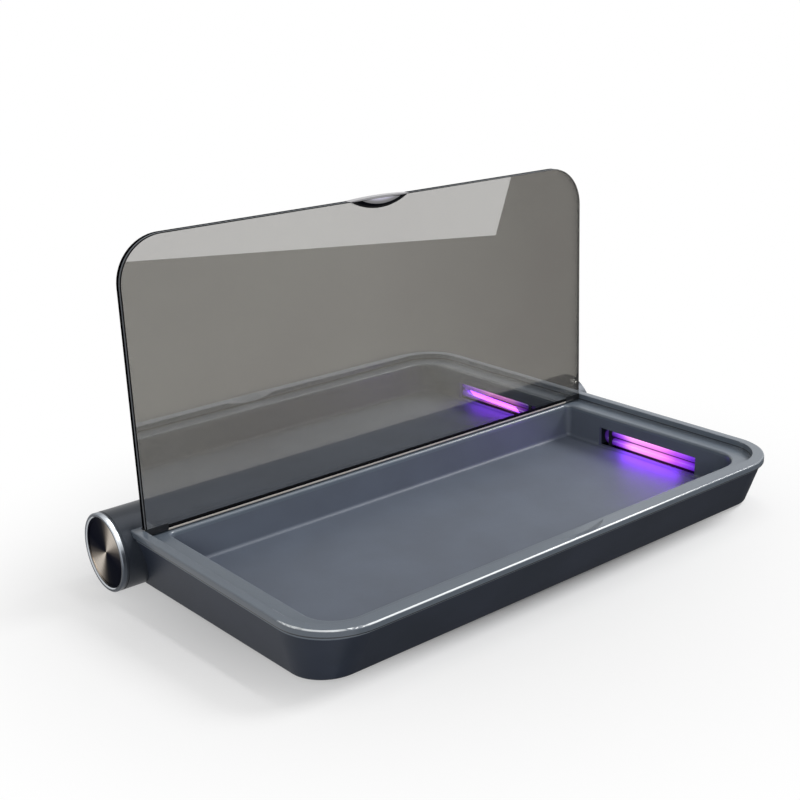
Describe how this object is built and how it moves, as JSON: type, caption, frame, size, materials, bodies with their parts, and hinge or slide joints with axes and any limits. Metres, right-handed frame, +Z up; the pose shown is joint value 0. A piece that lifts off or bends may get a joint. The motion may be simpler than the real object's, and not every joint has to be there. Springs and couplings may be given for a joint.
{
  "type": "uv sanitizer box for phones",
  "caption": "Slim tray with a hinged see-through lid, an ultraviolet lamp in one side wall, and a round barrel along the back that ends in a power button.",
  "frame": {"origin": "centre of the overall box in X and Y, on the surface that the feet stand on", "axes": "+X along the length, from the power button's end to the charging end; +Y from the front edge to the barrel; +Z up"},
  "size_m": [0.2206, 0.129, 0.1191],
  "materials": {
    "shell_plastic": "moulded, fine satin texture, dark slate",
    "rim_plastic": "satin slate paint",
    "liner_plastic": "fine grain, dark slate",
    "lid_acrylic": "polished, tinted half-mirror sheet",
    "tab_metal": "satin silver",
    "black_plastic": "moulded, glossy black",
    "barrel_paint": "satin slate paint over a moulding",
    "collar_metal": "anodised with a bright-cut chamfer",
    "button_metal": "spun, with circular tool lines",
    "inner_plastic": "moulded, unpainted",
    "spring_steel": "drawn wire and turned pins",
    "washer_nylon": "natural nylon",
    "lamp_glass": "clear quartz tube, violet when lit",
    "reflector_sheet": "bright rolled sheet",
    "socket_steel": "drawn and plated",
    "lens_plastic": "smoked, polished",
    "cell_can": "plain heat-shrunk sleeve over a can",
    "contact_metal": "stamped and plated",
    "board_laminate": "solder mask over laminate",
    "magnet_plate": "nickel plate",
    "reed_glass": "drawn glass",
    "screw_steel": "zinc plate",
    "foot_rubber": "moulded"
  },
  "bodies": {
    "base": {"lower_shell": "shell_plastic", "rim_frame": "rim_plastic", "cavity_liner": "liner_plastic", "lamp_tube": "lamp_glass", "lamp_base": "inner_plastic", "lamp_clip": "inner_plastic", "lamp_reflector": "reflector_sheet", "hinge_washers": "washer_nylon", "barrel_tube": "barrel_paint", "barrel_end_cap": "barrel_paint", "button_collar": "collar_metal", "button_spring": "spring_steel", "switch_carrier": "inner_plastic", "tact_switch": "inner_plastic", "charging_socket": "socket_steel", "indicator_lens": "lens_plastic", "battery_cell": "cell_can", "battery_holder": "inner_plastic", "positive_contact": "contact_metal", "negative_contact": "contact_metal", "control_board": "board_laminate", "lamp_driver_board": "board_laminate", "reed_switch": "reed_glass", "catch_plate": "magnet_plate", "housing_screws": "screw_steel", "rubber_feet": "foot_rubber"},
    "lid": {"lid_panel": "lid_acrylic", "finger_tab": "tab_metal", "finger_tab_frame": "black_plastic", "lid_magnet": "magnet_plate", "pivot_block_left": "black_plastic", "pivot_block_right": "black_plastic", "hinge_pins": "spring_steel"},
    "button": {"power_button": "button_metal", "button_stem": "inner_plastic"}
  },
  "joints": [
    {"name": "lid_hinge", "type": "hinge", "parent": "base", "child": "lid", "pos_m": [0.00035, 0.03818, 0.02151], "axis": [1, 0, 0], "range_deg": [0, 90]},
    {"name": "button_press", "type": "slide", "parent": "base", "child": "button", "axis": [1, 0, 0], "range_m": [0, 0.001], "stiffness_N_per_m": 800, "springref_m": -0.001, "deforming": ["button_spring"]}
  ]
}
